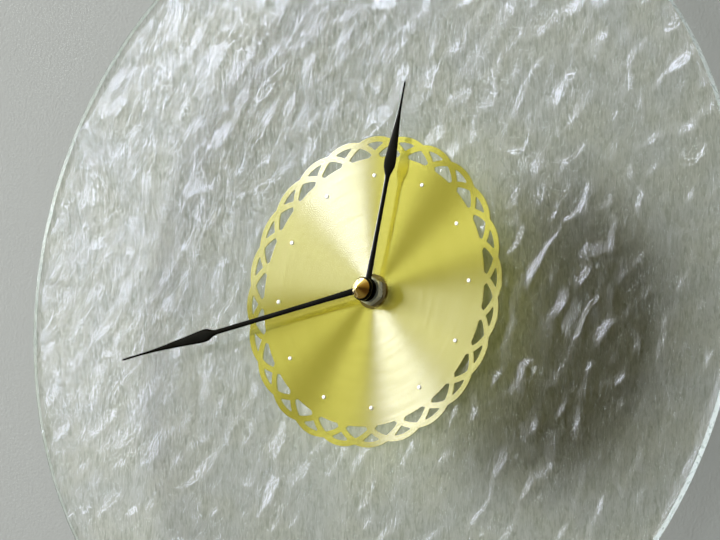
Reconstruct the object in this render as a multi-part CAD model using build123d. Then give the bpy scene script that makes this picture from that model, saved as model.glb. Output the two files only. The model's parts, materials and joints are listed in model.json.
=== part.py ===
from build123d import *
import math
import os

# Wall clock: a round textured-glass disc carries a pierced brass dial, and a quartz
# movement behind the glass turns two black hands.
# Frame: X to the right, Z up, Y into the wall. The front of the clock looks along -Y.
# The origin is on the hands' axis, on the flat back of the movement, at the wall.
# All sizes are in millimetres.

# ---------------------------------------------------------------- driving dimensions
# movement case
CASE_W = 56.0            # width and height of the square case
CASE_D = 16.0            # depth of the case, wall to front
CASE_WALL = 1.2
BAY_WALL_Z = (-12.2, -11.2)   # wall between the battery bay and the gear chamber
BACK_T = 1.2             # thickness of the back cover

# stack in front of the case, each from the one behind it
BRACKET_T = 1.2
RUBBER_T = 1.0
GLASS_T = 5.0
PAD_T = 0.3
DIAL_T = 0.8
WASHER_T = 0.8
NUT_T = 3.0

# glass disc
GLASS_D = 400.0
GLASS_HOLE_R = 6.0
GLASS_EDGE = 0.6         # ground edge

# dial: solid disc with a border of overlapping ring arcs
DIAL_SOLID_R = 62.5
LACE_N = 24
LACE_PITCH_R = 51.55     # radius on which the ring centres lie
LACE_R_OUT = 20.76
LACE_R_IN = 18.10
LACE_FILLET = 0.45
MARKER_N = 12
MARKER_RING_R = 54.0
MARKER_R = 0.95
MARKER_H = 0.35
MARKER_SHANK_R = 0.5

# fixing
BUSH_R = 4.0             # threaded bush, plain cylinder at the thread's outside
BUSH_HOLE_R = 4.05       # holes that the bush passes
BUSH_BORE_R = 2.62
NUT_AF = 12.0
WASHER_R = 8.0
PAD_R = 10.0
RUBBER_R = 12.0

# hands
MINUTE_LEN = 140.0
HOUR_LEN = 97.0
MINUTE_ANGLE = 261.4     # clockwise from twelve, as photographed
HOUR_ANGLE = 12.1
HAND_T = 0.5
HUB_R = 5.5
HOUR_PLANE = 5.0         # height of the hour hand's back face over the dial
MINUTE_PLANE = 8.0
CAP_R = 4.7
CAP_TOP = 13.0           # height of the cap nut's tip over the dial

# arbors
HOUR_PIPE_R = 2.55
HOUR_PIPE_BORE_R = 1.65
MINUTE_PIPE_R = 1.60
MINUTE_PIPE_BORE_R = 0.58
SECONDS_R = 0.50
MOTION_ARBOR_R = 0.75

# gear train: teeth and modules
M_MOTION = 0.5
Z_CANNON, Z_MOTION = 10, 30
Z_MOTION_PINION, Z_HOUR = 8, 32
M_CENTRE = 0.25
Z_MINUTE, Z_THIRD_PINION = 70, 7
Z_THIRD, Z_SECONDS_PINION = 66, 11
M_FAST = 0.2
Z_SECONDS, Z_INTER_PINION = 60, 15
Z_INTER, Z_ROTOR = 60, 8
PRESSURE_ANGLE = 25.0
WHEEL_ADD, PINION_ADD, ROOT_CLEAR = 0.60, 0.90, 0.30    # in modules
TOOTH_THIN = 0.10        # thinning of each tooth, in modules

# arbor positions, (x, z)
ANG_MOTION = 154.0       # directions seen from the front, from +X towards +Z
ANG_THIRD = 11.0
ANG_INTER = 86.0
ANG_ROTOR = 40.0         # from the intermediate arbor

# hanger bracket
HANGER_W = 30.0
HANGER_TAB_W = 22.0
HANGER_TOP = 54.0
HOOK_HOLE_R = 3.5
HOOK_HOLE_Z = 43.5

# ---------------------------------------------------------------- derived positions
Y_CASE = -CASE_D
Y_BRACKET = Y_CASE - BRACKET_T
Y_RUBBER = Y_BRACKET - RUBBER_T
Y_GLASS = Y_RUBBER - GLASS_T
Y_PAD = Y_GLASS - PAD_T
Y_DIAL = Y_PAD - DIAL_T
Y_WASHER = Y_DIAL - WASHER_T
Y_NUT = Y_WASHER - NUT_T
Y_BUSH = Y_NUT - 0.5

CD_MOTION = M_MOTION * (Z_CANNON + Z_MOTION) / 2
CD_THIRD = M_CENTRE * (Z_MINUTE + Z_THIRD_PINION) / 2
CD_INTER = M_FAST * (Z_SECONDS + Z_INTER_PINION) / 2
CD_ROTOR = M_FAST * (Z_INTER + Z_ROTOR) / 2


def polar(r, deg, base=(0.0, 0.0)):
    a = math.radians(deg)
    return (base[0] + r * math.cos(a), base[1] + r * math.sin(a))


A0 = (0.0, 0.0)
A_MOTION = polar(CD_MOTION, ANG_MOTION)
A_THIRD = polar(CD_THIRD, ANG_THIRD)
A_INTER = polar(CD_INTER, ANG_INTER)
A_ROTOR = polar(CD_ROTOR, ANG_ROTOR, A_INTER)

os.makedirs("parts", exist_ok=True)
NODES = {}


# ---------------------------------------------------------------- helpers
def at(y):
    """Plane parallel to the wall at depth y. Its local axes are X and Z, its normal -Y."""
    return Plane(origin=(0, y, 0), x_dir=(1, 0, 0), z_dir=(0, -1, 0))


def slab(sketch, y_back, y_front):
    """Extrude a sketch drawn in X and Z from y_back to y_front."""
    return extrude(at(y_back) * sketch, amount=y_back - y_front)


def rod(r, y_back, y_front, c=A0):
    return slab(Pos(c[0], c[1]) * Circle(r), y_back, y_front)


def block(x0, x1, y0, y1, z0, z1):
    return Pos((x0 + x1) / 2, (y0 + y1) / 2, (z0 + z1) / 2) * Box(x1 - x0, y1 - y0, z1 - z0)


def outline(pts):
    return make_face(Polyline([Vector(p[0], p[1]) for p in pts], close=True))


def gear_points(z, m, is_wheel, tooth_deg, c=A0):
    """Involute tooth ring with one tooth centred on the direction tooth_deg."""
    al = math.radians(PRESSURE_ANGLE)
    r = m * z / 2
    rb = r * math.cos(al)
    ra = r + m * (WHEEL_ADD if is_wheel else PINION_ADD)
    rf = r - m * ((PINION_ADD if is_wheel else WHEEL_ADD) + ROOT_CLEAR)
    inv = math.tan(al) - al
    half = math.pi / (2 * z) - TOOTH_THIN * m / (2 * r)

    def theta(rho):
        if rho <= rb:
            return half + inv
        b = math.acos(rb / rho)
        return half + inv - (math.tan(b) - b)

    start = max(rb, rf)
    n = 4
    flank = [start + (ra - start) * (i / (n - 1)) for i in range(n)]
    if rf < rb:
        flank = [rf] + flank
    pts = []
    for k in range(z):
        mid = math.radians(tooth_deg) + 2 * math.pi * k / z
        for rho in flank:
            pts.append((c[0] + rho * math.cos(mid - theta(rho)), c[1] + rho * math.sin(mid - theta(rho))))
        for rho in reversed(flank):
            pts.append((c[0] + rho * math.cos(mid + theta(rho)), c[1] + rho * math.sin(mid + theta(rho))))
    return pts


def gear(z, m, is_wheel, tooth_deg, y_back, y_front, c=A0):
    return slab(outline(gear_points(z, m, is_wheel, tooth_deg, c)), y_back, y_front)


def mesh_phase(z_partner, direction):
    """Tooth direction of a partner ring that has a gap towards the first ring."""
    return direction + 180.0 + 180.0 / z_partner


def blade_outline(length, widths, hub_w):
    """Hand outline along +Z. widths holds (distance from the tip, full width)."""
    right = [(w / 2, length - s) for s, w in widths] + [(hub_w / 2, HUB_R * 0.6), (hub_w / 2, 0.0)]
    left = [(-x, z) for x, z in reversed(right)]
    return outline(left + right)


def spin(shape, clock_deg):
    """Turn a shape about the hands' axis, clockwise as seen from the front."""
    return Rot(0, clock_deg, 0) * shape


def keep(name, *shapes):
    solids = []
    for s in shapes:
        solids += list(s.solids())
    NODES[name] = solids
    body = solids[0] if len(solids) == 1 else Compound(children=solids)
    body.label = name
    export_step(body, "parts/%s.step" % name)


# ---------------------------------------------------------------- glass and dial
glass = slab(Circle(GLASS_D / 2) - Circle(GLASS_HOLE_R), Y_RUBBER, Y_GLASS)
rim = [e for e in glass.edges().filter_by(GeomType.CIRCLE) if e.radius > GLASS_D / 4]
glass = chamfer(rim, GLASS_EDGE)
keep("glass_disc", glass)

face = Circle(DIAL_SOLID_R)
ring_disc = []
lace = None
for k in range(LACE_N):
    p = polar(LACE_PITCH_R, 90.0 - k * 360.0 / LACE_N)
    ring = Pos(p[0], p[1]) * (Circle(LACE_R_OUT) - Circle(LACE_R_IN))
    lace = ring if lace is None else lace + ring
face = face + (lace - Circle(DIAL_SOLID_R - 1.0))
face = face - Circle(BUSH_HOLE_R)
# the inner corners of the piercing are cut with a small radius
try:
    inner = [w for w in face.face().inner_wires() if w.length > 30.0 or w.length < 1000]
    corners = []
    for w in face.face().inner_wires():
        for v in w.vertices():
            if math.hypot(v.X, v.Y) > DIAL_SOLID_R - 0.5:
                corners.append(v)
    if corners:
        face = fillet(face.vertices().filter_by(lambda v: any((v.center() - c.center()).length < 1e-4 for c in corners)), LACE_FILLET)
except Exception as err:
    print("dial corners left sharp:", err)
dial = slab(face, Y_PAD, Y_DIAL)
for k in range(MARKER_N):
    p = polar(MARKER_RING_R, 90.0 - 30.0 * k)
    dial = dial - rod(MARKER_SHANK_R, Y_PAD + 1, Y_DIAL - 1, p)
keep("dial_plate", dial)

markers = []
for k in range(MARKER_N):
    p = polar(MARKER_RING_R, 90.0 - 30.0 * k)
    head = rod(MARKER_R, Y_DIAL, Y_DIAL - MARKER_H, p)
    top = [e for e in head.edges().filter_by(GeomType.CIRCLE) if abs(e.center().Y - (Y_DIAL - MARKER_H)) < 1e-6]
    head = fillet(top, MARKER_H * 0.8)
    markers.append(head + rod(MARKER_SHANK_R, Y_PAD, Y_DIAL, p))
keep("hour_markers", *markers)

# ---------------------------------------------------------------- fixing stack
keep("rubber_grommet",
     slab(Circle(RUBBER_R) - Circle(BUSH_HOLE_R), Y_BRACKET, Y_RUBBER)
     + slab(Circle(GLASS_HOLE_R - 0.1) - Circle(BUSH_HOLE_R), Y_RUBBER, Y_GLASS + 0.3))
keep("dial_pad", slab(Circle(PAD_R) - Circle(BUSH_HOLE_R), Y_GLASS, Y_PAD))
keep("nut_washer", slab(Circle(WASHER_R) - Circle(BUSH_HOLE_R), Y_DIAL, Y_WASHER))
nut_hex = slab(RegularPolygon(NUT_AF / 2, 6, major_radius=False, rotation=30) - Circle(BUSH_R + 0.02), Y_WASHER, Y_NUT)
# both ends of the nut are turned to a cone at 30 degrees
nut_hex = nut_hex & (Rot(90, 0, 0) * Pos(0, 0, 0) * Pos(0, 0, 0) * Box(40, 40, 80))
nut_cone_h = 0.55
nut_limit = slab(Circle(NUT_AF / 2 + 0.15), Y_WASHER, Y_NUT)
cone_r = NUT_AF / 2 + 0.15 + nut_cone_h * math.tan(math.radians(60))
profile = [(0, Y_WASHER), (NUT_AF / 2 + 0.15, Y_WASHER), (cone_r, Y_WASHER - nut_cone_h),
           (cone_r, Y_NUT + nut_cone_h), (NUT_AF / 2 + 0.15, Y_NUT), (0, Y_NUT)]
turned = revolve(make_face(Polyline([Vector(a, b, 0) for a, b in profile], close=True)), Axis.Y, 360)
keep("hex_nut", nut_hex & turned)
keep("mounting_bush",
     slab(Circle(BUSH_R) - Circle(BUSH_BORE_R), Y_CASE + 0.4, Y_BUSH)
     + slab(Circle(6.5) - Circle(BUSH_BORE_R), Y_CASE + CASE_WALL, Y_CASE + 0.4))

# hanger bracket: flat front plate, web over the case, tab flat on the wall
plate2 = Pos(0, 8.1) * Rectangle(HANGER_W, 44.2) - Circle(BUSH_HOLE_R)
front_plate = slab(plate2, Y_CASE, Y_BRACKET)
front_plate = fillet(front_plate.edges().filter_by(Axis.Y).group_by(Axis.Z)[0], 6.0)
web = block(-HANGER_TAB_W / 2, HANGER_TAB_W / 2, Y_BRACKET, 0.0, 29.0, 30.2)
tab2 = Pos(0, (29.0 + HANGER_TOP) / 2) * Rectangle(HANGER_TAB_W, HANGER_TOP - 29.0) - Pos(0, HOOK_HOLE_Z) * Circle(HOOK_HOLE_R)
tab = slab(tab2, 0.0, -BRACKET_T)
tab = fillet(tab.edges().filter_by(Axis.Y).group_by(Axis.Z)[-1], 7.0)
hanger = front_plate + web + tab
bend_in = [e for e in hanger.edges().filter_by(Axis.X) if e.length > 15
           and abs(e.center().Z - 29.0) < 1e-3 and abs(e.center().Y - Y_CASE) < 1e-3]
bend_tab = [e for e in hanger.edges().filter_by(Axis.X) if e.length > 15
            and abs(e.center().Z - 30.2) < 1e-3 and abs(e.center().Y + BRACKET_T) < 1e-3]
out_edges = [e for e in hanger.edges().filter_by(Axis.X) if e.length > 15
             and ((abs(e.center().Z - 29.0) < 1e-3 and abs(e.center().Y) < 1e-3)
                  or (abs(e.center().Z - 30.2) < 1e-3 and abs(e.center().Y - Y_BRACKET) < 1e-3))]
for group, rad in ((bend_in, 0.6), (bend_tab, 0.6), (out_edges, 1.5)):
    try:
        if group:
            fresh = [e for e in hanger.edges().filter_by(Axis.X)
                     if any((e.center() - g.center()).length < 0.5 for g in group)]
            hanger = fillet(fresh, rad)
    except Exception as err:
        print("bracket bend left sharp:", err)
keep("hanger_bracket", hanger)

# ---------------------------------------------------------------- movement: case
H = CASE_W / 2
IN = H - CASE_WALL
outer = RectangleRounded(CASE_W, CASE_W, 4.0)
inner = RectangleRounded(2 * IN, 2 * IN, 2.8)
shell = slab(outer, 0.0, Y_CASE) - slab(inner, 1.0, Y_CASE + CASE_WALL)
# the upper part of the case stops under the back cover
shell = shell - block(-H - 1, H + 1, -BACK_T, 1.0, BAY_WALL_Z[1], H + 1)
shell = shell + block(-IN + 1.0, IN - 1.0, Y_CASE + CASE_WALL - 0.2, 0.0, *BAY_WALL_Z) \
    - block(-H, H, -BACK_T, 0.5, BAY_WALL_Z[1], BAY_WALL_Z[1] + 1)
# bush seat, motion arbor pivot, third arbor boss and four pillars for the middle plate
shell = shell - rod(6.5, Y_CASE + CASE_WALL + 0.01, Y_CASE + 0.4) - rod(BUSH_R, Y_CASE + 1, Y_CASE - 1)
shell = shell + rod(1.0, -12.5, Y_CASE + CASE_WALL - 0.2, A_THIRD)
shell = shell - rod(0.40, -12.0, -13.6, A_THIRD)
shell = shell - rod(0.45, -14.0, -15.5, A_MOTION)
PILLARS = [(-24.0, 24.0), (24.0, 24.0), (-24.0, -9.0), (24.0, -9.0)]
PLATE_F, PLATE_B = -9.4, -8.6
for p in PILLARS:
    shell = shell + rod(1.8, PLATE_F, Y_CASE + CASE_WALL - 0.2, p) + rod(0.8, PLATE_B + 0.5, PLATE_F, p)
# windows for the back cover's four clips
CLIPS = [(-12.0, 1), (12.0, 1)]
for x, s in CLIPS:
    shell = shell - block(x - 2.6, x + 2.6, -5.2, -3.4, IN - 0.5, H + 1)
SIDE_CLIPS = [(-1, 8.0), (1, 8.0)]
for s, z in SIDE_CLIPS:
    xa, xb = sorted((s * (IN - 0.5), s * (H + 1)))
    shell = shell - block(xa, xb, -5.2, -3.4, z - 2.6, z + 2.6)
keep("case_front", shell)

# ---------------------------------------------------------------- movement: back cover
KNOB_R = 5.0
KNOB_HOLE_R = 5.6
z_lo = BAY_WALL_Z[1] + 0.02
cover2 = RectangleRounded(CASE_W, CASE_W, 4.0) & (Pos(0, (z_lo + H) / 2) * Rectangle(CASE_W, H - z_lo))
cover = slab(cover2, 0.0, -BACK_T)
# bosses that carry the back pivots
cover = cover + rod(1.2, -BACK_T + 0.1, -6.9, A0) + rod(1.0, -BACK_T + 0.1, -6.6, A_INTER) \
    + rod(1.2, -BACK_T + 0.1, -3.9, A_ROTOR)
cover = cover - rod(0.42, -5.4, -7.5, A0) - rod(0.36, -5.3, -7.5, A_INTER) - rod(0.30, -2.6, -4.5, A_ROTOR)
cover = cover - rod(KNOB_HOLE_R, 1.0, -3.0, A_MOTION)
for x, s in CLIPS:
    cover = cover + block(x - 2.3, x + 2.3, -5.0, -BACK_T + 0.1, IN - 0.95, IN - 0.1) \
        + block(x - 2.3, x + 2.3, -5.0, -3.7, IN - 0.5, IN + 0.6)
for s, z in SIDE_CLIPS:
    xa, xb = sorted((s * (IN - 0.95), s * (IN - 0.1)))
    ya, yb = sorted((s * (IN - 0.5), s * (IN + 0.6)))
    cover = cover + block(xa, xb, -5.0, -BACK_T + 0.1, z - 2.3, z + 2.3) \
        + block(ya, yb, -5.0, -3.7, z - 2.3, z + 2.3)
keep("case_back", cover)

# middle plate between the motion work and the fast train
mid2 = Pos(0, 7.7) * RectangleRounded(2 * IN - 0.6, 37.0, 2.5)
mid = slab(mid2, PLATE_B, PLATE_F)
mid = mid - rod(0.98, PLATE_B + 1, PLATE_F - 1, A0) - rod(MOTION_ARBOR_R + 0.05, PLATE_B + 1, PLATE_F - 1, A_MOTION)
mid = mid - rod(0.36, PLATE_B + 1, PLATE_F - 1, A_THIRD) - rod(0.36, PLATE_B + 1, PLATE_F - 1, A_INTER)
mid = mid - rod(0.30, PLATE_B + 1, PLATE_F - 1, A_ROTOR)
for p in PILLARS:
    mid = mid - rod(0.8, PLATE_B + 1, PLATE_F - 1, p)
# posts that carry the circuit board and the stator
POSTS = [(-22.5, 22.5), (-13.5, 22.5), (-22.5, 13.5), (-13.5, 13.5)]
STATOR_POSTS = [(A_ROTOR[0] - 9.5, 14.0), (A_ROTOR[0] + 9.5, 14.0)]
for p in POSTS + STATOR_POSTS:
    mid = mid + rod(1.3, -6.0, PLATE_B - 0.1, p) + rod(0.6, -4.9, -6.1, p)
keep("middle_plate", mid)

# ---------------------------------------------------------------- movement: motion work
CANNON = gear(Z_CANNON, M_MOTION, False, ANG_MOTION, -12.5, -13.5)
minute_arbor = rod(MINUTE_PIPE_R, -11.5, -34.6) + CANNON + rod(1.9, -11.5, -12.5)
minute_arbor = minute_arbor - rod(MINUTE_PIPE_BORE_R, -11.0, -36.0)
keep("minute_arbor", minute_arbor)
keep("minute_wheel",
     gear(Z_MINUTE, M_CENTRE, True, ANG_THIRD, -11.55, -12.15)
     - rod(1.9, -11.0, -13.0)
     - sum([rod(1.5, -11.0, -13.0, polar(5.3, 45 + 90 * i)) for i in range(1, 4)],
           start=rod(1.5, -11.0, -13.0, polar(5.3, 45))))
spring2 = (Circle(3.4) - Circle(1.92)) + (Circle(3.9) & (Rectangle(10, 1.4) + Rectangle(1.4, 10)) - Circle(3.0))
keep("clutch_spring", slab(spring2, -12.16, -12.36))

hour_wheel = gear(Z_HOUR, M_MOTION, True, 180.0 + ANG_MOTION - 180.0, -13.7, -14.6) \
    + rod(HOUR_PIPE_R, -14.0, -30.9)
hour_wheel = hour_wheel - rod(HOUR_PIPE_BORE_R, -13.0, -32.0)
keep("hour_wheel", hour_wheel)

motion = gear(Z_MOTION, M_MOTION, True, mesh_phase(Z_MOTION, ANG_MOTION), -12.6, -13.4, A_MOTION) \
    + gear(Z_MOTION_PINION, M_MOTION, False, mesh_phase(Z_MOTION_PINION, ANG_MOTION), -13.4, -14.7, A_MOTION) \
    + rod(MOTION_ARBOR_R, -1.6, -13.0, A_MOTION) + rod(0.40, -14.6, -15.35, A_MOTION)
keep("motion_wheel", motion)
knob2 = outline([polar(KNOB_R - (0.35 if i % 2 else 0.0), i * 360 / 72.0, A_MOTION) for i in range(72)])
knob = slab(knob2, -0.4, -3.1)
knob = knob - rod(MOTION_ARBOR_R, -1.6, -4.0, A_MOTION)
# a coin slot across the knob's face
knob = knob - block(A_MOTION[0] - 3.6, A_MOTION[0] + 3.6, -1.2, 0.0, A_MOTION[1] - 0.6, A_MOTION[1] + 0.6)
keep("setting_knob", knob)

# ---------------------------------------------------------------- movement: time train
third = gear(Z_THIRD, M_CENTRE, True, ANG_THIRD + 180.0, -10.5, -11.2, A_THIRD) \
    + gear(Z_THIRD_PINION, M_CENTRE, False, mesh_phase(Z_THIRD_PINION, ANG_THIRD), -11.2, -12.3, A_THIRD) \
    + rod(0.34, -8.8, -13.4, A_THIRD) + rod(0.8, -9.6, -10.6, A_THIRD)
keep("third_wheel", third)

seconds = gear(Z_SECONDS, M_FAST, True, ANG_INTER, -7.9, -8.4) \
    + gear(Z_SECONDS_PINION, M_CENTRE, False, mesh_phase(Z_SECONDS_PINION, ANG_THIRD + 180.0), -10.4, -11.3) \
    + rod(0.90, -7.2, -10.5)
seconds = seconds - rod(SECONDS_R, -6.0, -12.0)
keep("seconds_wheel", seconds)
keep("seconds_arbor", rod(SECONDS_R, -7.0, -35.2) + rod(0.37, -5.7, -7.0))

inter = gear(Z_INTER, M_FAST, True, ANG_ROTOR, -7.0, -7.5, A_INTER) \
    + gear(Z_INTER_PINION, M_FAST, False, mesh_phase(Z_INTER_PINION, ANG_INTER), -7.5, -8.5, A_INTER) \
    + rod(0.32, -5.6, -9.3, A_INTER)
keep("intermediate_wheel", inter)

rotor = gear(Z_ROTOR, M_FAST, False, mesh_phase(Z_ROTOR, ANG_ROTOR), -6.8, -7.6, A_ROTOR) \
    + rod(0.45, -7.6, -8.45, A_ROTOR) + rod(0.25, -3.0, -9.3, A_ROTOR) + rod(0.6, -4.2, -6.9, A_ROTOR)
keep("rotor_pinion", rotor)
keep("rotor_magnet", rod(3.0, -4.4, -6.7, A_ROTOR) - rod(0.6, -4.0, -7.0, A_ROTOR))

# ---------------------------------------------------------------- movement: motor
AX, AZ = A_ROTOR
COIL_Z = 21.0
ST_B, ST_F = -5.0, -6.0
st2 = Pos(AX, 16.0) * Rectangle(22.0, 17.0)
st2 = st2 - Pos(AX, 21.1) * Rectangle(16.0, 8.6)
st2 = st2 - Pos(AX, AZ) * Circle(3.4) - Pos(A_INTER[0], A_INTER[1]) * Circle(1.7)
st2 = st2 - Pos(AX, AZ - 3.6) * Rectangle(0.5, 1.0) - Pos(AX, AZ + 3.6) * Rectangle(0.5, 1.0)
for p in STATOR_POSTS:
    st2 = st2 - Pos(p[0], p[1]) * Circle(0.6)
keep("stator", slab(st2, ST_B, ST_F))
keep("coil_core", block(AX - 11.0, AX + 11.0, ST_B, ST_B + 1.0, COIL_Z - 1.5, COIL_Z + 1.5))
CY = ST_B + 0.5


def rod_x(r, x0, x1, y, z):
    return Pos((x0 + x1) / 2, y, z) * (Rot(0, 90, 0) * Cylinder(r, x1 - x0))


core_gap = block(AX - 12, AX + 12, ST_B - 0.02, ST_B + 1.02, COIL_Z - 1.52, COIL_Z + 1.52)
bobbin = rod_x(2.05, AX - 7.8, AX + 7.8, CY, COIL_Z) + rod_x(3.0, AX - 7.8, AX - 7.0, CY, COIL_Z) \
    + rod_x(3.0, AX + 7.0, AX + 7.8, CY, COIL_Z)
keep("coil_bobbin", bobbin - core_gap)
keep("coil_winding", rod_x(2.85, AX - 7.0, AX + 7.0, CY, COIL_Z) - rod_x(2.05, AX - 8, AX + 8, CY, COIL_Z))

# circuit board, chip and crystal
PB0, PB1 = -26.3, -9.6
board2 = Pos((PB0 + PB1) / 2, 18.2) * Rectangle(PB1 - PB0, 14.6)
for p in POSTS:
    board2 = board2 - Pos(p[0], p[1]) * Circle(0.6)
keep("circuit_board", slab(board2, -5.0, -6.0))
chip = rod(2.6, -4.1, -5.0, (-18.0, 18.0))
chip = fillet([e for e in chip.edges().filter_by(GeomType.CIRCLE) if abs(e.center().Y + 4.1) < 1e-6], 0.7)
keep("chip_cover", chip)
keep("quartz_crystal", Pos(-11.0, -4.0, 18.2) * Cylinder(1.0, 6.0))

# battery and its contacts
BAT_R, BAT_Y, BAT_Z = 7.1, -7.6, -19.5
cell = rod_x(BAT_R, -24.7, 24.2, BAT_Y, BAT_Z)
cell = fillet(cell.edges().filter_by(GeomType.CIRCLE), 0.6)
cell = cell + rod_x(2.6, 24.0, 25.6, BAT_Y, BAT_Z)
keep("battery_cell", cell)
keep("battery_contact_plus",
     block(25.6, 25.9, -11.6, -3.6, -24.0, -15.5) + block(25.6, 26.6, -9.5, -6.5, -15.8, -15.5)
     + slab(outline([(26.6, -15.8), (26.6, 23.6), (24.4, 25.8), (-10.2, 25.8), (-10.2, 25.5), (24.28, 25.5),
                     (26.3, 23.48), (26.3, -15.8)]), -5.3, -8.3))
# the negative contact is a folded leaf that springs against the cell
keep("battery_contact_minus",
     block(-26.65, -26.35, -11.6, -3.6, -24.0, -15.5)
     + block(-26.65, -24.9, -11.6, -3.6, -24.0, -23.7)
     + block(-25.0, -24.7, -9.6, -5.6, -24.0, -17.5)
     + block(-26.65, -26.35, -8.3, -5.0, -15.8, 12.0))

# ---------------------------------------------------------------- hands
MINUTE_W = [(0.0, 0.55), (0.6, 0.8), (4.0, 0.9), (8.0, 0.95), (12.0, 1.05), (16.0, 1.25), (20.0, 1.6), (24.5, 2.2),
            (31.0, 3.3), (36.0, 4.15), (40.0, 4.85), (44.0, 5.65), (46.5, 6.05), (48.3, 6.2), (49.8, 6.0),
            (51.0, 5.4), (52.0, 4.5), (52.9, 3.5), (53.8, 2.75), (55.0, 2.45), (58.0, 2.3), (90.0, 2.3),
            (120.0, 2.5), (131.0, 3.0)]
HOUR_W = [(0.0, 0.6), (0.6, 0.85), (4.0, 0.95), (8.0, 1.15), (13.3, 1.6), (17.0, 2.3), (20.5, 3.0), (24.0, 3.75),
          (27.2, 4.45), (32.4, 5.55), (35.5, 6.25), (37.6, 6.6), (39.0, 6.45), (40.2, 5.9), (41.4, 5.0),
          (42.5, 4.0), (43.4, 3.1), (44.3, 2.6), (46.0, 2.4), (52.0, 2.3), (74.0, 2.4), (86.0, 3.1)]

yh = Y_DIAL - HOUR_PLANE
ym = Y_DIAL - MINUTE_PLANE
hour_sheet = blade_outline(HOUR_LEN, HOUR_W, 3.4) + Circle(HUB_R)
hour_hand = slab(hour_sheet - Circle(HOUR_PIPE_R + 0.5), yh, yh - HAND_T)
keep("hour_hand", spin(hour_hand, HOUR_ANGLE))
keep("hour_hand_collet",
     slab(Circle(HUB_R) - Circle(HOUR_PIPE_R), yh + 0.4, yh) + slab(Circle(HOUR_PIPE_R + 0.5) - Circle(HOUR_PIPE_R), yh, yh - 1.3))
minute_sheet = blade_outline(MINUTE_LEN, MINUTE_W, 3.4) + Circle(HUB_R)
minute_hand = slab(minute_sheet - Circle(MINUTE_PIPE_R + 0.6), ym, ym - HAND_T)
keep("minute_hand", spin(minute_hand, MINUTE_ANGLE))
keep("minute_hand_collet",
     slab(Circle(HUB_R) - Circle(MINUTE_PIPE_R), ym + 0.4, ym) + slab(Circle(MINUTE_PIPE_R + 0.6) - Circle(MINUTE_PIPE_R), ym, ym - HAND_T))

# cap nut: short cylinder with a pointed, slightly domed top, hollow for the arbors
y_cap0 = ym - HAND_T
y_tip = Y_DIAL - CAP_TOP
cap_profile = Polyline([Vector(0, y_cap0, 0), Vector(CAP_R, y_cap0, 0), Vector(CAP_R, y_cap0 - 0.7, 0)])
cap_curve = Spline([Vector(CAP_R, y_cap0 - 0.7, 0), Vector(CAP_R * 0.66, y_cap0 - 2.2, 0), Vector(CAP_R * 0.30, y_cap0 - 3.75, 0),
                    Vector(0, y_tip, 0)])
cap_close = Line(Vector(0, y_tip, 0), Vector(0, y_cap0, 0))
cap = revolve(make_face([cap_profile, cap_curve, cap_close]), Axis.Y, 360)
cap = cap - rod(MINUTE_PIPE_R, 0.0, -35.4)
keep("cap_nut", cap)

print("nodes:", len(NODES))
print("motion arbor", A_MOTION, "third", A_THIRD, "intermediate", A_INTER, "rotor", A_ROTOR)
print("planes: glass %.2f..%.2f dial %.2f..%.2f nut %.2f hour %.2f minute %.2f tip %.2f"
      % (Y_RUBBER, Y_GLASS, Y_PAD, Y_DIAL, Y_NUT, yh, ym, y_tip))
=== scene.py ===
import json
import math

import bpy
import numpy as np
from mathutils import Matrix, Vector

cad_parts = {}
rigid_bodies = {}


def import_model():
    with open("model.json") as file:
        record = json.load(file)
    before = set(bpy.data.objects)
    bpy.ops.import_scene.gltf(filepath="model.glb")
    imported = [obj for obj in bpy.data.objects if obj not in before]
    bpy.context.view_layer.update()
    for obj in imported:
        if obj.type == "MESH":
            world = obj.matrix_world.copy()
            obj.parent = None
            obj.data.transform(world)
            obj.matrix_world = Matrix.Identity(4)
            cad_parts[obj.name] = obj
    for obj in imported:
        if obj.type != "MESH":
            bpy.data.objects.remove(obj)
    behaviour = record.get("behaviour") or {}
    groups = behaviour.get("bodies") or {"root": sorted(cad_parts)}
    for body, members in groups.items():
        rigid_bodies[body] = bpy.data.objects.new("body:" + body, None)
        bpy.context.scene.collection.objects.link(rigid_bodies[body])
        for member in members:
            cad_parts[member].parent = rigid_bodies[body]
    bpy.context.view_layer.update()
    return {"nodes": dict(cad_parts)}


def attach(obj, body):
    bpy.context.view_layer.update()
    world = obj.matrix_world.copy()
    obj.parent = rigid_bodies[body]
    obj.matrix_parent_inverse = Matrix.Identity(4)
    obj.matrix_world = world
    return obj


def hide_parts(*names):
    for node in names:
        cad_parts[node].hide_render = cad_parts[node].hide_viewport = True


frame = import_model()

NODES = frame["nodes"]

# Depths of the stack, in metres (the front of the clock looks along -Y, the wall is y = 0).
Y_GLASS_BACK = -0.0182
Y_GLASS_FRONT = -0.0232
Y_DIAL = -0.0243
HOUR_BACK, HOUR_FRONT = -0.0293, -0.0298
MINUTE_BACK, MINUTE_FRONT = -0.0323, -0.0328
GLASS_R = 0.200
GLASS_HOLE_R = 0.006
HOUR_ANGLE, MINUTE_ANGLE = 12.1, 261.4
CAM_AZ, CAM_EL, CAM_ROLL, CAM_DIST = 36.43, -9.94, 0.82, 3.738


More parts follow.
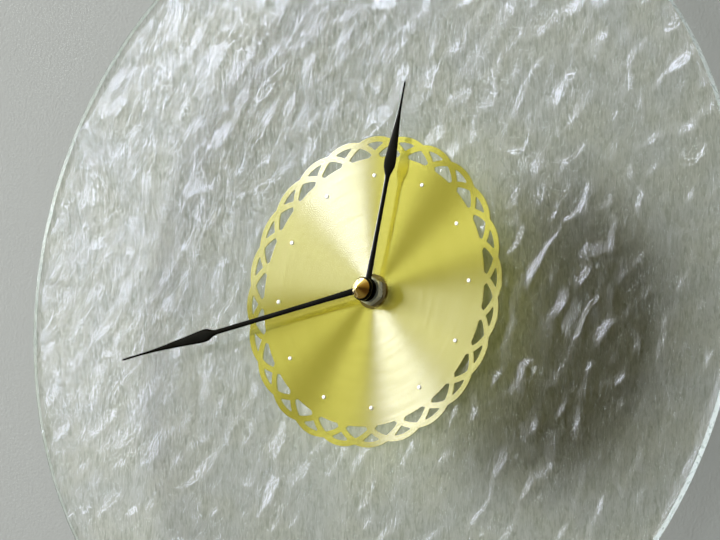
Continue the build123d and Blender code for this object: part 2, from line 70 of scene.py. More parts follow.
# ---------------------------------------------------------------- node graph helpers
class Graph:
    """A material's node tree, with short calls for the nodes used below."""

    def __init__(self, name):
        self.mat = bpy.data.materials.new(name)
        self.mat.use_nodes = True
        self.nt = self.mat.node_tree
        self.nt.nodes.clear()
        self.out = self.nt.nodes.new("ShaderNodeOutputMaterial")
        self._coord = None

    def node(self, kind, **settings):
        n = self.nt.nodes.new(kind)
        for k, v in settings.items():
            setattr(n, k, v)
        return n

    def link(self, a, b):
        self.nt.links.new(a, b)

    def feed(self, socket, value):
        if isinstance(value, bpy.types.NodeSocket):
            self.link(value, socket)
        else:
            socket.default_value = value

    def coord(self):
        if self._coord is None:
            self._coord = self.node("ShaderNodeTexCoord").outputs["Object"]
        return self._coord

    def mapped(self, scale=(1, 1, 1), rot=(0, 0, 0), loc=(0, 0, 0), source=None):
        m = self.node("ShaderNodeMapping")
        m.inputs["Scale"].default_value = scale
        m.inputs["Rotation"].default_value = rot
        m.inputs["Location"].default_value = loc
        self.link(source or self.coord(), m.inputs["Vector"])
        return m.outputs[0]

    def noise(self, scale, detail=2.0, rough=0.5, vector=None, distortion=0.0, dims="3D", w=None):
        n = self.node("ShaderNodeTexNoise", noise_dimensions=dims)
        n.inputs["Scale"].default_value = scale
        n.inputs["Detail"].default_value = detail
        n.inputs["Roughness"].default_value = rough
        n.inputs["Distortion"].default_value = distortion
        if dims != "1D":
            self.link(vector or self.coord(), n.inputs["Vector"])
        if w is not None:
            self.feed(n.inputs["W"], w)
        return n.outputs[0]

    def voronoi(self, scale, vector=None, feature="F1", randomness=1.0, out="Distance"):
        n = self.node("ShaderNodeTexVoronoi", feature=feature)
        n.inputs["Scale"].default_value = scale
        n.inputs["Randomness"].default_value = randomness
        self.link(vector or self.coord(), n.inputs["Vector"])
        return n.outputs[out]

    def math(self, op, a, b=0.0, c=0.0, clamp=False):
        n = self.node("ShaderNodeMath", operation=op, use_clamp=clamp)
        self.feed(n.inputs[0], a)
        self.feed(n.inputs[1], b)
        self.feed(n.inputs[2], c)
        return n.outputs[0]

    def remap(self, value, lo, hi, to_lo, to_hi, smooth=False):
        n = self.node("ShaderNodeMapRange", interpolation_type="SMOOTHSTEP" if smooth else "LINEAR")
        self.feed(n.inputs["Value"], value)
        n.inputs["From Min"].default_value = lo
        n.inputs["From Max"].default_value = hi
        n.inputs["To Min"].default_value = to_lo
        n.inputs["To Max"].default_value = to_hi
        return n.outputs[0]

    def mix(self, fac, a, b, blend="MIX"):
        n = self.node("ShaderNodeMix", data_type="RGBA", blend_type=blend)
        self.feed(n.inputs[0], fac)
        self.feed(n.inputs[6], a)
        self.feed(n.inputs[7], b)
        return n.outputs[2]

    def split(self, vector=None):
        n = self.node("ShaderNodeSeparateXYZ")
        self.link(vector or self.coord(), n.inputs[0])
        return n.outputs

    def bump(self, height, strength, distance, normal=None):
        n = self.node("ShaderNodeBump")
        n.inputs["Strength"].default_value = strength
        n.inputs["Distance"].default_value = distance
        self.link(height, n.inputs["Height"])
        if normal is not None:
            self.link(normal, n.inputs["Normal"])
        return n.outputs[0]

    def principled(self, **values):
        n = self.node("ShaderNodeBsdfPrincipled")
        for k, v in values.items():
            self.feed(n.inputs[k.replace("_", " ")], v)
        return n

    def done(self, shader):
        self.link(shader.outputs[0] if hasattr(shader, "outputs") else shader, self.out.inputs["Surface"])
        return self.mat


def rgb(r, g, b):
    """Linear colour from 0-255 display values."""
    def lin(v):
        v /= 255.0
        return v / 12.92 if v <= 0.04045 else ((v + 0.055) / 1.055) ** 2.4
    return (lin(r), lin(g), lin(b), 1.0)


# ---------------------------------------------------------------- materials
def metal(name, base, rough, vary=0.08, grain=(1.0, 1.0, 1.0), grain_scale=3000.0, grain_bump=0.00001,
          tarnish=None, **extra):
    """Metal with uneven gloss, a fine directional grain and faint tarnish."""
    g = Graph(name)
    stretched = g.mapped(scale=grain)
    fine = g.noise(grain_scale, 3.0, 0.6, stretched)
    cloud = g.noise(160.0, 3.0, 0.55)
    r = g.remap(g.math("ADD", g.math("MULTIPLY", cloud, 0.6), g.math("MULTIPLY", fine, 0.4)),
                0.3, 0.7, max(0.02, rough - vary), rough + vary)
    dull = tarnish or tuple(c * 0.72 for c in base[:3]) + (1.0,)
    colour = g.mix(g.remap(g.noise(60.0, 4.0, 0.6), 0.35, 0.75, 0.0, 0.5), base, dull)
    p = g.principled(Base_Color=colour, Metallic=1.0, Roughness=r,
                     Normal=g.bump(fine, 0.6, grain_bump), **extra)
    return g.done(p)


def plastic(name, base, rough, texture=900.0, depth=0.00002, vary=0.07, lighter=1.25, **extra):
    """Moulded plastic: spark-eroded texture, slightly uneven gloss and colour."""
    g = Graph(name)
    pits = g.noise(texture, 4.0, 0.6)
    cloud = g.noise(90.0, 3.0, 0.5)
    light = tuple(min(1.0, c * lighter) for c in base[:3]) + (1.0,)
    colour = g.mix(g.remap(cloud, 0.3, 0.75, 0.0, 1.0), base, light)
    r = g.remap(cloud, 0.3, 0.7, rough - vary, rough + vary)
    p = g.principled(Base_Color=colour, Roughness=r, Normal=g.bump(pits, 0.7, depth), **extra)
    return g.done(p)


def brushed_brass():
    """Lacquered brass, brushed in circles round the arbor."""
    g = Graph("brass_circular_brushed")
    xyz = g.split()
    x, z = xyz[0], xyz[2]
    radius = g.math("SQRT", g.math("ADD", g.math("MULTIPLY", x, x), g.math("MULTIPLY", z, z)))
    angle = g.math("ARCTAN2", x, z)
    ring = g.node("ShaderNodeCombineXYZ")
    g.feed(ring.inputs[0], g.math("MULTIPLY", radius, 5200.0))
    g.feed(ring.inputs[1], g.math("MULTIPLY", g.math("SINE", angle), 3.0))
    g.feed(ring.inputs[2], g.math("MULTIPLY", g.math("COSINE", angle), 3.0))
    lines = g.noise(1.0, 2.0, 0.6, ring.outputs[0])
    wide = g.node("ShaderNodeCombineXYZ")
    g.feed(wide.inputs[0], g.math("MULTIPLY", radius, 900.0))
    g.feed(wide.inputs[1], g.math("MULTIPLY", g.math("SINE", angle), 1.2))
    g.feed(wide.inputs[2], g.math("MULTIPLY", g.math("COSINE", angle), 1.2))
    bands = g.noise(1.0, 2.0, 0.5, wide.outputs[0])
    cloud = g.noise(28.0, 3.0, 0.5)
    colour = g.mix(g.remap(cloud, 0.3, 0.7, 0.0, 1.0), (0.78, 0.76, 0.24, 1.0), (0.82, 0.80, 0.28, 1.0))
    colour = g.mix(g.remap(lines, 0.3, 0.7, 0.0, 0.16), colour, (0.60, 0.50, 0.13, 1.0))
    tangent = g.node("ShaderNodeTangent", direction_type="RADIAL", axis="Y")
    r = g.math("ADD", g.remap(lines, 0.3, 0.7, 0.18, 0.235), g.remap(bands, 0.3, 0.7, -0.015, 0.015))
    p = g.principled(Base_Color=colour, Metallic=1.0, Roughness=r, Anisotropic=1.0, Anisotropic_Rotation=0.25,
                     Normal=g.bump(lines, 0.2, 0.000004),
                     Coat_Weight=0.08, Coat_Roughness=0.3)
    g.link(tangent.outputs[0], p.inputs["Tangent"])
    return g.done(p)


def rolled_glass():
    """Clear, faintly green rolled glass with fine striations, whose refraction is painted into its colour as darker
    and lighter lines; it lets the lamps' light through in a painted uneven pattern.
    """
    g = Graph("glass_rolled")
    tilt = math.radians(14)
    mid = g.noise(1.0, 2.5, 0.55, g.mapped(scale=(400.0, 120.0, 210.0), rot=(0, math.radians(28), 0)), distortion=0.6)
    # painted shade and light: the ribs are fine prisms, and each is painted a hair darker on one flank and lighter on
    # the other, in place of the shading their refraction would give
    ribs = g.noise(1.0, 2.5, 0.6, g.mapped(scale=(640.0, 200.0, 190.0), rot=(0, tilt, 0)), distortion=0.9)
    height = g.math("ADD", g.math("MULTIPLY", ribs, 0.55), g.math("MULTIPLY", mid, 0.45))
    painted_rib_shade = g.mix(g.remap(ribs, 0.36, 0.53, 0.0, 1.0), (0.71, 0.74, 0.69, 1.0), (1.0, 1.0, 1.0, 1.0))
    glass_tint_and_painted_shade = g.mix(g.remap(mid, 0.34, 0.66, 0.0, 1.0), (0.965, 0.98, 0.955, 1.0), (1.0, 1.0, 1.0, 1.0))
    hue = g.mix(g.remap(g.noise(42.0, 2.0, 0.5), 0.40, 0.60, 0.0, 1.0), (0.99, 0.995, 0.94, 1.0), (0.985, 1.0, 1.0, 1.0))
    # the glass's own faint tint, multiplied by the painted rib shade and a faint hue
    glass_tint_and_painted_shade = g.mix(1.0, g.mix(1.0, glass_tint_and_painted_shade, painted_rib_shade, "MULTIPLY"), hue, "MULTIPLY")
    p = g.principled(Base_Color=glass_tint_and_painted_shade, Roughness=0.13, IOR=1.47,
                     Transmission_Weight=1.0, Normal=g.bump(height, 1.0, 0.00017))
    clear = g.node("ShaderNodeBsdfTransparent")
    # painted light: the light that comes through is made uneven by a noise pattern, in place of the real gathering and
    # spreading by the relief
    painted_gathered_light = g.noise(1.0, 2.0, 0.5, g.mapped(scale=(170.0, 60.0, 85.0), rot=(0, math.radians(45), 0)), distortion=0.5)
    g.link(g.mix(g.remap(painted_gathered_light, 0.34, 0.66, 0.0, 1.0), (0.91, 0.925, 0.915, 1.0), (1.0, 1.0, 1.0, 1.0)), clear.inputs[0])
    path = g.node("ShaderNodeLightPath")
    inner = g.node("ShaderNodeMixShader")
    g.link(path.outputs["Is Diffuse Ray"], inner.inputs[0])
    g.link(p.outputs[0], inner.inputs[1])
    g.link(clear.outputs[0], inner.inputs[2])
    m = g.node("ShaderNodeMixShader")
    g.link(path.outputs["Is Shadow Ray"], m.inputs[0])
    g.link(inner.outputs[0], m.inputs[1])
    g.link(clear.outputs[0], m.inputs[2])
    return g.done(m)


def ground_edge():
    """The glass disc's ground and half-polished rim."""
    g = Graph("glass_edge")
    cloud = g.noise(400.0, 3.0, 0.6)
    p = g.principled(Base_Color=g.mix(cloud, (0.80, 0.93, 0.86, 1.0), (0.93, 0.98, 0.95, 1.0)),
                     Roughness=g.remap(cloud, 0.3, 0.7, 0.22, 0.4), IOR=1.52, Transmission_Weight=0.45,
                     Normal=g.bump(g.noise(2500.0, 2.0, 0.5), 0.5, 0.00001))
    return g.done(p)


MAT = {
    "brass_brushed": brushed_brass(),
    "glass": rolled_glass(),
    "glass_edge": ground_edge(),
    "brass_polished": metal("brass_polished", (0.86, 0.66, 0.26, 1.0), 0.16, 0.04, grain_scale=2500.0,
                            grain_bump=0.000003, tarnish=(0.55, 0.33, 0.12, 1.0)),
    "brass_plain": metal("brass_plain", (0.80, 0.62, 0.27, 1.0), 0.30, 0.08),
    "brass_back": metal("brass_back", (0.88, 0.85, 0.52, 1.0), 0.22, 0.06),
    "nickel": plastic("nickel_satin", (0.80, 0.82, 0.74, 1.0), 0.26, 2200.0, 0.000003, 0.05, 1.05, Metallic=0.62),
    "silver_dot": plastic("silver_dot", (0.90, 0.90, 0.87, 1.0), 0.30, 2500.0, 0.000003, 0.05, 1.05, Metallic=0.35),
    # painted reflection: the washer's dark base colour and darker patches stand partly for the dark room it mirrors,
    # partly for its own darkened metal
    "washer_dark": metal("washer_dark", (0.34, 0.29, 0.20, 1.0), 0.16, 0.05, grain_scale=2200.0,
                         tarnish=(0.16, 0.12, 0.07, 1.0)),
    "steel": metal("steel", (0.56, 0.57, 0.58, 1.0), 0.32, 0.10, grain=(1, 1, 8)),
    "zinc_steel": metal("zinc_steel", (0.66, 0.68, 0.70, 1.0), 0.36, 0.12, grain_scale=700.0,
                        tarnish=(0.48, 0.50, 0.50, 1.0)),
    "spring_bronze": metal("spring_bronze", (0.72, 0.45, 0.25, 1.0), 0.28, 0.08),
    "copper_wire": metal("copper_wire", (0.83, 0.38, 0.18, 1.0), 0.22, 0.08),
    "magnet": metal("magnet", (0.20, 0.20, 0.21, 1.0), 0.45, 0.10),
    "black_satin": plastic("hand_black_satin", (0.003, 0.003, 0.004, 1.0), 0.24, 1800.0, 0.000003, 0.04,
                           Specular_IOR_Level=0.12),
    "hub_black": plastic("hub_black", (0.008, 0.008, 0.009, 1.0), 0.34, 1500.0, 0.000005, 0.06),
    "case_black": plastic("case_black", (0.030, 0.030, 0.032, 1.0), 0.42, 1500.0, 0.00003, 0.07),
    "rubber_black": plastic("rubber_black", (0.02, 0.02, 0.02, 1.0), 0.75, 700.0, 0.00003, 0.08),
    "gear_white": plastic("gear_white", (0.78, 0.77, 0.71, 1.0), 0.38, 1500.0, 0.000006, 0.05, 1.05),
    "gear_green": plastic("gear_green", (0.12, 0.34, 0.22, 1.0), 0.38, 1500.0, 0.000006, 0.05, 1.1),
    "plate_plastic": plastic("plate_plastic", (0.60, 0.59, 0.53, 1.0), 0.45, 1200.0, 0.00001, 0.06, 1.08),
    "vinyl_clear": plastic("vinyl_clear", (0.80, 0.82, 0.78, 1.0), 0.35, 800.0, 0.00001, 0.06, 1.05),
    "board_green": plastic("board_green", (0.03, 0.16, 0.07, 1.0), 0.34, 600.0, 0.000008, 0.06, 1.2),
    "chip_black": plastic("chip_black", (0.012, 0.012, 0.013, 1.0), 0.40, 900.0, 0.00001),
    "cell_sleeve": plastic("cell_sleeve", (0.35, 0.37, 0.40, 1.0), 0.28, 500.0, 0.000004, 0.05, 1.1),
}

NODE_MATERIAL = {
    "dial_plate": "brass_brushed", "hour_markers": "silver_dot", "rubber_grommet": "rubber_black",
    "dial_pad": "vinyl_clear", "nut_washer": "washer_dark", "hex_nut": "nickel", "mounting_bush": "brass_plain",
    "hanger_bracket": "zinc_steel", "case_front": "case_black", "case_back": "case_black",
    "middle_plate": "plate_plastic", "minute_arbor": "brass_plain", "minute_wheel": "gear_white",
    "clutch_spring": "spring_bronze", "hour_wheel": "gear_white", "motion_wheel": "gear_white",
    "setting_knob": "gear_white", "third_wheel": "gear_green", "seconds_wheel": "gear_white",
    "seconds_arbor": "steel", "intermediate_wheel": "gear_white", "rotor_pinion": "gear_white",
    "rotor_magnet": "magnet", "stator": "steel", "coil_core": "steel", "coil_bobbin": "plate_plastic",
    "coil_winding": "copper_wire", "circuit_board": "board_green", "chip_cover": "chip_black",
    "quartz_crystal": "steel", "battery_cell": "cell_sleeve", "battery_contact_plus": "steel",
    "battery_contact_minus": "steel", "hour_hand": "black_satin", "hour_hand_collet": "hub_black",
    "minute_hand": "black_satin", "minute_hand_collet": "hub_black", "cap_nut": "brass_polished",
    "glass_disc": "glass",
}


def dress(obj, material):
    obj.data.materials.clear()
    obj.data.materials.append(material)


for node_name, o in NODES.items():
    dress(o, MAT[NODE_MATERIAL[node_name]])


# ---------------------------------------------------------------- mesh helpers
def mesh_object(name, verts, faces, materials, face_material=None, smooth=True):
    me = bpy.data.meshes.new(name)
    me.from_pydata([tuple(v) for v in verts], [], faces)
    for m in materials:
        me.materials.append(m)
    if face_material is not None:
        me.polygons.foreach_set("material_index", np.asarray(face_material, dtype=np.int32))
    me.polygons.foreach_set("use_smooth", np.full(len(me.polygons), smooth))
    me.update()
    ob = bpy.data.objects.new(name, me)
    bpy.context.scene.collection.objects.link(ob)
    return ob


# ---------------------------------------------------------------- the glass disc
def rolled_relief(x, z):
    """Height of the rolled front face, 0..1, on arrays of points (metres).

    Small facets, each tilted its own way and drawn out along one diagonal, run softly into each other."""
    rng = np.random.default_rng(7)
    along, across = 0.0135, 0.0086
    lean = 52
    c0, s0 = math.cos(math.radians(lean)), math.sin(math.radians(lean))
    top, base = np.zeros_like(x), np.full_like(x, 1e-9)
    for i in range(int(0.46 / along)):
        for j in range(int(0.46 / across)):
            a = -0.23 + (i + 0.5 * (j % 2) + rng.uniform(-0.40, 0.40)) * along
            c = -0.23 + (j + rng.uniform(-0.40, 0.40)) * across
            turn = math.radians(lean + rng.normal(0, 12))
            size = rng.uniform(0.75, 1.30)
            tilt_u, tilt_v, rise = rng.normal(0, 0.050), rng.normal(0, 0.072), rng.normal(0, 0.00008)
            cx, cz = a * c0 - c * s0, a * s0 + c * c0
            if cx * cx + cz * cz > 0.214 ** 2:
                continue
            near = np.nonzero((np.abs(x - cx) < 0.022) & (np.abs(z - cz) < 0.022))[0]
            if len(near) == 0:
                continue
            dx, dz = x[near] - cx, z[near] - cz
            u = dx * math.cos(turn) + dz * math.sin(turn)
            v = -dx * math.sin(turn) + dz * math.cos(turn)
            w = np.exp(-(u / (0.42 * along * size)) ** 2 - (v / (0.42 * across * size)) ** 2)
            top[near] += w * (rise + tilt_u * u + tilt_v * v)
            base[near] += w
    h = top / base
    low, high = np.percentile(h, [0.5, 99.7])
    return np.clip((h - low) / (high - low), 0.0, 1.05) / 1.05


def build_glass():
    seg = 900
    radii = np.concatenate([np.array([GLASS_HOLE_R, 0.0085, 0.011, 0.014]),
                            np.arange(0.0165, GLASS_R - 0.0012, 0.00135), np.array([GLASS_R - 0.0006])])
    ang = np.arange(seg) * 2 * math.pi / seg
    R, A = np.meshgrid(radii, ang, indexing="ij")
    X, Z = R * np.sin(A), R * np.cos(A)
    relief = rolled_relief(X.ravel(), Z.ravel()).reshape(X.shape)
    # flat where the pad, the grommet and the nut clamp it
    fade = np.clip((R - 0.013) / 0.010, 0, 1)
    fade = fade * fade * (3 - 2 * fade)
    depth = 0.0012
    front = Y_GLASS_FRONT + depth * (1.0 - relief) * fade
    rim = np.clip((GLASS_R - 0.0006 - R) / 0.004, 0, 1)
    front = Y_GLASS_FRONT + (front - Y_GLASS_FRONT) * (0.25 + 0.75 * rim)
    rings = [(X[i], Z[i], front[i]) for i in range(len(radii))]
    side_start = len(rings)
    for r, y in ((GLASS_R, Y_GLASS_FRONT + 0.0006), (GLASS_R, Y_GLASS_FRONT + 0.0025),
                 (GLASS_R, Y_GLASS_BACK - 0.0006), (GLASS_R - 0.0006, Y_GLASS_BACK)):
        rings.append((r * np.sin(ang), r * np.cos(ang), np.full(seg, y)))
    back_start = len(rings)
    for r in list(np.linspace(GLASS_R - 0.004, 0.012, 44)) + [GLASS_HOLE_R]:
        rings.append((r * np.sin(ang), r * np.cos(ang), np.full(seg, Y_GLASS_BACK)))
    verts = np.concatenate([np.stack([rx, ry, rz], 1) for rx, rz, ry in rings])
    idx = np.arange(len(rings) * seg).reshape(len(rings), seg)
    order = list(range(len(rings))) + [0]
    faces, kinds = [], []
    for a, b in zip(order[:-1], order[1:]):
        ia, ib = idx[a], idx[b]
        quad = np.stack([ia, np.roll(ia, -1), np.roll(ib, -1), ib], 1)
        faces.append(quad)
        edge = side_start <= a < back_start - 2
        kinds += [1 if edge else 0] * seg
    faces = np.concatenate(faces)
    ob = mesh_object("glass_disc_rolled", verts, faces.tolist(), [MAT["glass"], MAT["glass_edge"]], kinds)
    # keep the arrises crisp
    me = ob.data
    sharp = [False] * len(me.edges)
    rim_rings = {side_start - 1, side_start, side_start + 2, side_start + 3, 0, len(rings) - 1}
    for e in me.edges:
        a, b = e.vertices
        ra, rb = a // seg, b // seg
        if ra == rb and ra in rim_rings:
            sharp[e.index] = True
    me.edges.foreach_set("use_edge_sharp", sharp) if hasattr(me.edges[0], "use_edge_sharp") else None
    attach(ob, "clock")
    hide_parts("glass_disc")
    return ob


glass = build_glass()

# ---------------------------------------------------------------- hands
MINUTE_W = [(0.0, 0.55), (0.6, 0.8), (4.0, 0.9), (8.0, 0.95), (12.0, 1.05), (16.0, 1.25), (20.0, 1.6), (24.5, 2.2),
            (31.0, 3.3), (36.0, 4.15), (40.0, 4.85), (44.0, 5.65), (46.5, 6.05), (48.3, 6.2), (49.8, 6.0),
            (51.0, 5.4), (52.0, 4.5), (52.9, 3.5), (53.8, 2.75), (55.0, 2.45), (58.0, 2.3), (90.0, 2.3),
            (120.0, 2.5), (131.0, 3.0)]
HOUR_W = [(0.0, 0.6), (0.6, 0.85), (4.0, 0.95), (8.0, 1.15), (13.3, 1.6), (17.0, 2.3), (20.5, 3.0), (24.0, 3.75),
          (27.2, 4.45), (32.4, 5.55), (35.5, 6.25), (37.6, 6.6), (39.0, 6.45), (40.2, 5.9), (41.4, 5.0),
          (42.5, 4.0), (43.4, 3.1), (44.3, 2.6), (46.0, 2.4), (52.0, 2.3), (74.0, 2.4), (86.0, 3.1)]


def build_hand(name, node, body, length_mm, table, y_back, y_front, clock_deg, bore_r, hub_r=5.5):
    """Stamped hand: a blade with a crowned front and a bare back, running into a round hub."""
    s_tab = np.array([s for s, w in table])
    w_tab = np.array([w for s, w in table])
    stations = np.unique(np.concatenate([
        np.linspace(0, 1.2, 7), np.linspace(1.2, s_tab[-1], 150),
        s_tab, np.linspace(s_tab[-1], length_mm - hub_r * 0.80, 4)]))
    widths = np.interp(stations, s_tab, w_tab)
    # soften the table's corners
    for _ in range(3):
        inner = widths[1:-1] * 0.5 + (widths[:-2] + widths[2:]) * 0.25
        widths[1:-1] = np.where(stations[1:-1] > 1.2, inner, widths[1:-1])
    tail = stations > s_tab[-1]
    widths[tail] = np.linspace(w_tab[-1], 3.4, tail.sum())
    widths[stations < 0.6] = 0.25 + 0.6 * np.sqrt(stations[stations < 0.6] / 0.6) * 0.95
    profile = [-1.0, -0.97, -0.86, -0.62, -0.32, 0.0, 0.32, 0.62, 0.86, 0.97, 1.0]
    t = y_front - y_back
    verts, rows = [], []
    for s, w in zip(stations, widths):
        zc = length_mm - s
        row = []
        for u in profile:
            crown = 1.0 - 0.42 * abs(u) ** 2.6
            row.append(len(verts))
            verts.append((u * w / 2 * 0.001, y_back + t * crown, zc * 0.001))
        for u in (1.0, 0.5, 0.0, -0.5, -1.0):
            row.append(len(verts))
            verts.append((u * w / 2 * 0.001, y_back, zc * 0.001))
        rows.append(row)
    faces, kinds = [], []
    n = len(rows[0])
    for a, b in zip(rows[:-1], rows[1:]):
        for k in range(n):
            k2 = (k + 1) % n
            faces.append((a[k], a[k2], b[k2], b[k]))
            kinds.append(1 if len(profile) <= k < n - 1 else 0)
    faces.append(tuple(reversed(rows[0])))
    kinds.append(0)
    faces.append(tuple(rows[-1]))
    kinds.append(0)
    # hub: a ring round the pipe, crowned like the blade
    seg = 72
    ring = [(bore_r, 0.0, 0), (bore_r, 0.86, 0), (bore_r + 0.12, 1.0, 0), (hub_r - 0.35, 1.0, 0), (hub_r - 0.08, 0.86, 0),
            (hub_r, 0.55, 0), (hub_r, 0.0, 0)]
    base = len(verts)
    for k in range(seg):
        a = 2 * math.pi * k / seg
        for r, f, _ in ring:
            verts.append((r * math.sin(a) * 0.001, y_back + t * f, r * math.cos(a) * 0.001))
    m = len(ring)
    for k in range(seg):
        k2 = (k + 1) % seg
        for j in range(m):
            j2 = (j + 1) % m
            faces.append((base + k * m + j, base + k2 * m + j, base + k2 * m + j2, base + k * m + j2))
            kinds.append(1 if j == m - 1 else 0)
    ob = mesh_object(name, verts, faces, [MAT["black_satin"], MAT["brass_back"]], kinds)
    rot = Matrix.Rotation(math.radians(clock_deg), 4, "Y")
    ob.data.transform(rot)
    me = ob.data
    me.update()
    import bmesh
    bm = bmesh.new()
    bm.from_mesh(me)
    bmesh.ops.recalc_face_normals(bm, faces=bm.faces)
    for e in bm.edges:
        if len(e.link_faces) == 2 and e.calc_face_angle(0) > math.radians(38):
            e.smooth = False
    bm.to_mesh(me)
    bm.free()
    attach(ob, body)
    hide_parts(node)
    return ob


build_hand("hour_hand_blade", "hour_hand", "hour", 97.0, HOUR_W, HOUR_BACK, HOUR_FRONT, HOUR_ANGLE, 3.05)
build_hand("minute_hand_blade", "minute_hand", "minute", 140.0, MINUTE_W, MINUTE_BACK, MINUTE_FRONT, MINUTE_ANGLE, 2.2)

# ---------------------------------------------------------------- stage: the wall it hangs on
def build_wall():
    me = bpy.data.meshes.new("wall")
    s = 4.0
    me.from_pydata([(-s, 0.0003, -s), (s, 0.0003, -s), (s, 0.0003, s), (-s, 0.0003, s)], [], [(0, 1, 2, 3)])
    ob = bpy.data.objects.new("wall", me)
    bpy.context.scene.collection.objects.link(ob)
    g = Graph("wall_plain")
    cloud = g.noise(6.0, 3.0, 0.5)
    diffuse = g.principled(Base_Color=g.mix(cloud, (0.70, 0.715, 0.69, 1.0), (0.75, 0.762, 0.74, 1.0)),
                           Roughness=0.95, Specular_IOR_Level=0.15,
                           Normal=g.bump(g.noise(700.0, 4.0, 0.6), 0.35, 0.0003))
    clear = g.node("ShaderNodeBsdfTransparent")
    geo = g.node("ShaderNodeNewGeometry")
    path = g.node("ShaderNodeLightPath")
    # seen from behind it isn't there, and it lets the rear lamps reach the back of the clock
    through = g.math("MAXIMUM", geo.outputs["Backfacing"], path.outputs["Is Shadow Ray"])
    m = g.node("ShaderNodeMixShader")
    g.link(through, m.inputs[0])
    g.link(diffuse.outputs[0], m.inputs[1])
    g.link(clear.outputs[0], m.inputs[2])
    me.materials.append(g.done(m))
    return ob


build_wall()


# ---------------------------------------------------------------- light
def direction(az, el):
    """Unit vector from the clock towards azimuth az (0 is straight in front, + to the right) and elevation el."""
    a, e = math.radians(az), math.radians(el)
    return Vector((math.sin(a) * math.cos(e), -math.cos(a) * math.cos(e), math.sin(e)))


def area(name, az, el, dist, w, h, radiance, colour=(1, 1, 1), roll=0.0, aim=(0, -0.02, 0)):
    light = bpy.data.lights.new(name, "AREA")
    light.shape = "RECTANGLE"
    light.size, light.size_y = w, h
    light.energy = radiance * math.pi * w * h
    light.color = colour
    ob = bpy.data.objects.new(name, light)
    d = direction(az, el)
    ob.location = Vector(aim) + d * dist
    q = d.to_track_quat("Z", "Y")
    ob.rotation_mode = "QUATERNION"
    from mathutils import Quaternion
    ob.rotation_quaternion = q @ Quaternion((0, 0, 1), math.radians(roll))
    ob.visible_camera = False
    bpy.context.scene.collection.objects.link(ob)
    return ob


def receivers(light, names, exclude=False):
    """The lamp lights only these pieces, or with exclude every piece but these."""
    group = bpy.data.collections.new(light.name + "_receivers")
    for n in names:
        group.objects.link(bpy.data.objects[n])
    light.light_linking.receiver_collection = group
    if exclude:
        for member in group.collection_objects:
            member.light_linking.link_state = "EXCLUDE"
    return light


def blockers(light, names):
    """Only these pieces stand in the lamp's way."""
    group = bpy.data.collections.new(light.name + "_blockers")
    for n in names:
        group.objects.link(bpy.data.objects[n])
    light.light_linking.blocker_collection = group
    return light


def aimed(name, corners, radiance, colour):
    """Rectangle lamp through four points (near left, near right, far left, far right), facing the clock."""
    p00, p01, p10, p11 = corners
    mid = (p00 + p01 + p10 + p11) / 4
    z_axis = mid.normalized()
    y_axis = (p10 + p11 - p00 - p01).normalized()
    y_axis = (y_axis - z_axis * y_axis.dot(z_axis)).normalized()
    x_axis = y_axis.cross(z_axis)
    w = ((p01 - p00).length + (p11 - p10).length) / 2
    h = ((p10 - p00).length + (p11 - p01).length) / 2
    light = bpy.data.lights.new(name, "AREA")
    light.shape = "RECTANGLE"
    light.size, light.size_y = w, h
    light.energy = radiance * math.pi * w * h
    light.color = colour
    ob = bpy.data.objects.new(name, light)
    ob.matrix_world = Matrix.Translation(mid) @ Matrix((x_axis, y_axis, z_axis)).transposed().to_4x4()
    ob.visible_camera = False
    bpy.context.scene.collection.objects.link(ob)
    return ob


def dial_card(name, clock0, clock1, near, far, radiance, colour, dist=4.0):
    """Soft card that lights one pair of fans of the circular brushing.

    It lies round the direction that a flat dial mirrors to the photograph's viewpoint, between two clock
    angles, and from near to far (sines) off that direction."""
    m = direction(-CAM_AZ, -CAM_EL)
    corners = []
    for d in (near, far):
        for c in (clock0, clock1):
            a = math.radians(c)
            x, z = m.x + d * math.sin(a), m.z + d * math.cos(a)
            corners.append(Vector((x, -math.sqrt(max(0.0004, 1 - x * x - z * z)), z)) * dist)
    return aimed(name, corners, radiance, colour)


def glass_card(name, px, pz, depth, w, h, radiance, colour, roll=0.0):
    """Card whose mirror image in the flat glass, seen from the photograph's viewpoint, falls on (px, pz)."""
    eye = direction(CAM_AZ, CAM_EL) * CAM_DIST
    image = Vector((eye.x, -eye.y, eye.z))
    p = Vector((px, 0.0, pz))
    at = p - (image - p) * (depth / image.y)
    return area(name, math.degrees(math.atan2(at.x, -at.y)), math.degrees(math.asin(at.normalized().z)), at.length,
                w, h, radiance, colour, roll=roll, aim=(0, 0, 0))


BRIGHT = ["dial_plate"]
GLASS = ["glass_disc_rolled"]
receivers(dial_card("dial_window", 278, 319, 0.19, 0.37, 4.6, (0.97, 1.0, 1.85)), BRIGHT)
receivers(dial_card("dial_softbox", 333, 352, 0.21, 0.46, 9.0, (0.96, 1.0, 2.8)), BRIGHT)
receivers(dial_card("dial_card_top", 8, 30, 0.20, 0.48, 3.2, (1.0, 1.0, 0.75)), BRIGHT)
receivers(dial_card("dial_card_right", 57, 77, 0.20, 0.52, 2.3, (1.0, 1.0, 0.75)), BRIGHT)
receivers(area("dial_fill_front", 1, -15, 4.0, 0.9, 0.9, 3.0, (1.0, 0.99, 1.0)), BRIGHT)
receivers(area("dial_fill_low", -25, -17, 4.0, 0.9, 0.9, 3.0, (1.0, 0.99, 1.0)), BRIGHT)
receivers(glass_card("glass_card_upper", -0.14, 0.15, 0.7, 0.08, 0.12, 18.0, (0.92, 0.98, 1.22), 20), GLASS)
receivers(glass_card("glass_card_left", -0.25, 0.02, 0.7, 0.08, 0.13, 14.0, (0.92, 0.98, 1.22)), GLASS)
receivers(glass_card("glass_card_top", 0.03, 0.24, 0.7, 0.12, 0.09, 22.0, (0.92, 0.98, 1.22)), GLASS)
